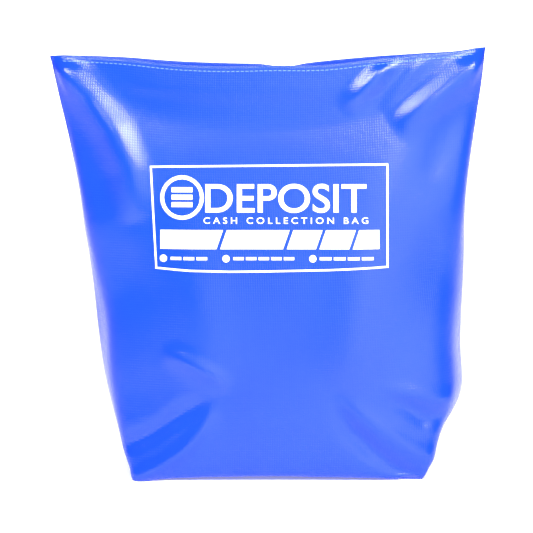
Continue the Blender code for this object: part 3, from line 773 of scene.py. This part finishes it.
# Bright nickel plate: a near-mirror, dulled by handling in soft patches about 3 mm across.
plated, tree, shader = new_material("bright_nickel_plate")
place = node(tree, "ShaderNodeTexCoord").outputs["Object"]
handling = node(tree, "ShaderNodeTexNoise", {"Scale": 300.0, "Detail": 4.0}, {"Vector": place})
rubbed = node(
    tree, "ShaderNodeMapRange", {"To Min": 0.16, "To Max": 0.34}, {"Value": handling.outputs["Fac"]}
)
shader.inputs["Base Color"].default_value = linear("c9c7c2")
shader.inputs["Metallic"].default_value = 1.0
tree.links.new(rubbed.outputs["Result"], shader.inputs["Roughness"])


def eased_copy(name, material, width, body="bag"):
    """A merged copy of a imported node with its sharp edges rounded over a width, in the node's place."""
    bm = bmesh.new()
    bm.from_mesh(frame["nodes"][name].data)
    bmesh.ops.remove_doubles(bm, verts=bm.verts, dist=1e-6)
    bmesh.ops.dissolve_limit(bm, angle_limit=math.radians(1), verts=bm.verts, edges=bm.edges)
    mesh = bpy.data.meshes.new(name)
    bm.to_mesh(mesh)
    bm.free()
    copy = bpy.data.objects.new(name, mesh)
    bpy.context.collection.objects.link(copy)
    eased = copy.modifiers.new("eased_edges", "BEVEL")
    eased.width = width
    eased.segments = 2
    eased.limit_method = "ANGLE"
    eased.angle_limit = math.radians(35)
    mesh = baked(copy)
    mesh.shade_smooth()
    mesh.set_sharp_from_angle(angle=math.radians(40))
    return add_piece(name + "_finished", mesh, material, body=body, replaces=[name])


METAL_EDGE, CLOTH_EDGE = 0.12 * MM, 0.1 * MM
for name in ("front_top_stop", "back_top_stop", "bottom_stop"):
    eased_copy(name, plated, METAL_EDGE)
eased_copy("slider_body", plated, METAL_EDGE, body="slider")
eased_copy("pull_tab", plated, METAL_EDGE, body="pull")
for name in ("left_end_tab", "right_end_tab"):
    eased_copy(name, coated_cloth, CLOTH_EDGE)

# ---- The bound seams inside -----------------------------------------------------------------
# The seam allowances of the sides, the boxed corners and the base stand inwards, each folded
# into a woven binding and sewn through. They follow the seams of the filled bag.

# Woven binding tape: quite matt, with level cords 0.9 mm apart.
CORD_PITCH = 0.898 * MM
binding, tree, shader = new_material("woven_seam_binding")
place = node(tree, "ShaderNodeTexCoord").outputs["Object"]
cords = node(
    tree, "ShaderNodeTexWave", {"Scale": math.pi / 10 / CORD_PITCH, "bands_direction": "Z"}, {"Vector": place}
)
cord_bump = node(
    tree, "ShaderNodeBump", {"Strength": 0.6, "Distance": 0.1 * MM}, {"Height": cords.outputs["Fac"]}
)
shader.inputs["Base Color"].default_value = linear("2044a0")
shader.inputs["Roughness"].default_value = 0.9
tree.links.new(cord_bump.outputs["Normal"], shader.inputs["Normal"])
# The binding's width, half its thickness, how far inside the seam it starts, and its rounded rim.
BINDING_WIDTH, BINDING_HALF, BINDING_START, BINDING_RIM = 9 * MM, 1.1 * MM, 1.0 * MM, 0.5 * MM


def bound_seam(name, seam, inward, across):
    """A binding that stands inwards from the points of a seam, and its row of stitches."""
    rows, line = [], []
    for point in seam:
        near, far = point + inward * BINDING_START, point + inward * (BINDING_START + BINDING_WIDTH)
        off = across * BINDING_HALF
        rim = inward * BINDING_RIM
        rows.append([near - off, near + off, far + off - rim, far, far - off - rim])
        line.append((near + far) / 2 - across * (BINDING_HALF + 0.1 * MM))
    add_piece(name + "_cloth", loft(rows, closed=True), binding, replaces=[name])
    stitching = name.replace("_binding", "_stitching").replace("base_seam", "base")
    mesh = repeated(stitch, line, STITCH, thread)
    add_piece(stitching + "_thread", mesh, thread, replaces=[stitching])


wall = cut_grids[-1][0]
for column, sign, name in ((0, -1, "left_side_binding"), (-1, 1, "right_side_binding")):
    seam = [shaped(settled[row[column]], Vector((sign, 0, 0))) for row in wall[3:-3]]
    bound_seam(name, seam, Vector((-sign, 0, 0)), Vector((0, 1, 0)))
corner_columns = round(BASE_DEPTH / 2 / CELL)
for sign, name in ((-1, "left_corner_binding"), (1, "right_corner_binding")):
    seam = []
    for side in (-1, 1):
        row = cut_grids[side][0][0]
        part = row[: corner_columns + 1] if sign < 0 else row[-corner_columns - 1 :][::-1]
        places = [shaped(settled[v], Vector((sign, 0, 0))) for v in part]
        seam += places[:0:-1] if side < 0 else places
    inward = Vector((-sign, 0, 1)).normalized()
    bound_seam(name, seam[1:-1], inward, Vector((sign, 0, 1)).normalized())
base_row = cut_grids[-1][1][0]
seam = [shaped(settled[v], Vector((0, 0, -1))) for v in base_row[3:-3]]
bound_seam("base_seam_binding", seam, Vector((0, 0, 1)), Vector((0, 1, 0)))

# ---- The seal eyelet ------------------------------------------------------------------------
# A nickel-plated brass eyelet through the back panel beside the closed slider, clenched over a
# washer inside. A numbered seal joins it to the pull tab, so an opened bag shows.

eyelet_low, eyelet_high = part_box("seal_eyelet")
eyelet_x = (eyelet_low[0] + eyelet_high[0]) / 2
eyelet_z = (eyelet_low[2] + eyelet_high[2]) / 2
hit, normal, _, _ = surfaces[1].ray_cast(Vector((eyelet_x, 0.2, eyelet_z)), Vector((0, -1, 0)))
eyelet_turn = normal.to_track_quat("Z", "Y").to_matrix().to_4x4()


def turned_ring(profile, name):
    """A ring turned from a closed profile of (radius, height) in mm, set in the back panel."""
    rows = []
    turns = 40
    for k in range(turns + 1):
        turn = 2 * math.pi * k / turns
        rows.append([Vector((r * math.cos(turn), r * math.sin(turn), h)) * MM for r, h in profile])
    bm = bmesh.new()
    verts = [[bm.verts.new(p) for p in row] for row in rows]
    for low, high in zip(verts, verts[1:]):
        for i in range(len(low)):
            n = (i + 1) % len(low)
            bm.faces.new((low[i], low[n], high[n], high[i]))
    bmesh.ops.remove_doubles(bm, verts=bm.verts, dist=1e-6)
    bmesh.ops.recalc_face_normals(bm, faces=bm.faces)
    mesh = bpy.data.meshes.new(name)
    bm.to_mesh(mesh)
    bm.free()
    mesh.shade_smooth()
    mesh.transform(Matrix.Translation(hit) @ eyelet_turn)
    return mesh


EYELET = [
    (2.0, -1.6), (2.0, 0.3), (2.3, 0.75), (3.2, 0.85), (4.1, 0.7),
    (4.5, 0.2), (4.3, 0.15), (2.4, 0.15), (2.4, -1.6),
]
WASHER = [(2.55, -1.4), (2.55, -0.8), (4.4, -0.8), (4.4, -1.4)]
for name, profile in (("seal_eyelet", EYELET), ("eyelet_washer", WASHER)):
    ring = turned_ring(profile, name)
    add_piece(name + "_plated", ring, plated, replaces=[name])
HOLE_RADIUS = 2.42 * MM
bm = bmesh.new()
bmesh.ops.create_cone(bm, cap_ends=True, segments=32, radius1=HOLE_RADIUS, radius2=HOLE_RADIUS, depth=6 * MM)
cutter_mesh = bpy.data.meshes.new("eyelet_hole")
bm.to_mesh(cutter_mesh)
bm.free()
cutter_mesh.transform(Matrix.Translation(hit) @ eyelet_turn)
cutter = pattern_piece("eyelet_hole", cutter_mesh)
hole = panels[1].modifiers.new("eyelet_hole", "BOOLEAN")
hole.object = cutter
# The exact solver leaves a disc in the hole, because the folded hem crosses itself at the tips.
hole.solver = "FAST"
cut_mesh = bpy.data.meshes.new_from_object(panels[1].evaluated_get(bpy.context.evaluated_depsgraph_get()))
panels[1].modifiers.clear()
panels[1].data = cut_mesh

for leftover in (stitch, cutter, *[o for o in bpy.data.objects if o.name.endswith("_loop")]):
    bpy.data.objects.remove(leftover)

# ---- The stage: floor, light and camera -----------------------------------------------------
# A plain white studio: a pale matt floor, a lit white backdrop well behind the bag, and soft panels
# of light. The camera stands a little above the bag's middle and looks straight at its front.

floor_material, tree, shader = new_material("matte_white_floor")
shader.inputs["Base Color"].default_value = linear("f4f4f4")
shader.inputs["Roughness"].default_value = 0.9
shader.inputs["Emission Color"].default_value = linear("ffffff")
shader.inputs["Emission Strength"].default_value = 0.22
bpy.ops.mesh.primitive_plane_add(size=6, location=(0, 0, 0))
floor = bpy.context.object
floor.name = "floor"
floor.data.materials.append(floor_material)
backdrop_material, tree, shader = new_material("lit_white_backdrop")
shader.inputs["Emission Color"].default_value = linear("ffffff")
shader.inputs["Emission Strength"].default_value = 1.0
bpy.ops.mesh.primitive_plane_add(size=2.4, location=(0, 2.9, 0), rotation=(math.radians(90), 0, 0))
backdrop = bpy.context.object
backdrop.name = "backdrop"
backdrop.data.materials.append(backdrop_material)

world = bpy.data.worlds.new("studio")
bpy.context.scene.world = world
world.use_nodes = True
world.node_tree.nodes["Background"].inputs["Color"].default_value = (1, 1, 1, 1)
world.node_tree.nodes["Background"].inputs["Strength"].default_value = 0.18
bpy.context.scene.view_settings.view_transform = "Standard"


def soft_panel(name, place, size, power, aim=(0, 0, 0.13)):
    """A rectangular lamp of a size in metres and a power in watts that faces the aim."""
    light = bpy.data.lights.new(name, "AREA")
    light.shape = "RECTANGLE"
    light.size, light.size_y = size
    light.energy = power
    lamp = bpy.data.objects.new(name, light)
    bpy.context.collection.objects.link(lamp)
    lamp.location = place
    lamp.rotation_euler = (Vector(aim) - Vector(place)).to_track_quat("-Z", "Y").to_euler()


soft_panel("left_panel", (-0.42, -0.75, 0.95), (0.45, 0.4), 13)
soft_panel("right_panel", (0.46, -0.78, 0.90), (0.45, 0.45), 15)
soft_panel("fill_panel", (0.75, -1.55, 0.65), (1.6, 1.3), 15)
soft_panel("backdrop_panel", (0, 2.2, 1.6), (3, 1.6), 60, (0, 2.2, 0))

# How far the camera looks down, how far off it stands, and how wide a view it takes there.
ELEVATION, DISTANCE, VIEW_WIDTH = math.radians(9), 1.1, 0.317
aim = Vector((-0.0007, 0, 0.1197))
camera_data = bpy.data.cameras.new("camera")
camera_data.sensor_width = 36
camera_data.lens = camera_data.sensor_width * DISTANCE / VIEW_WIDTH
camera = bpy.data.objects.new("camera", camera_data)
bpy.context.collection.objects.link(camera)
camera.location = aim + DISTANCE * Vector((0, -math.cos(ELEVATION), math.sin(ELEVATION)))
camera.rotation_euler = (aim - camera.location).to_track_quat("-Z", "Y").to_euler()
bpy.context.scene.camera = camera
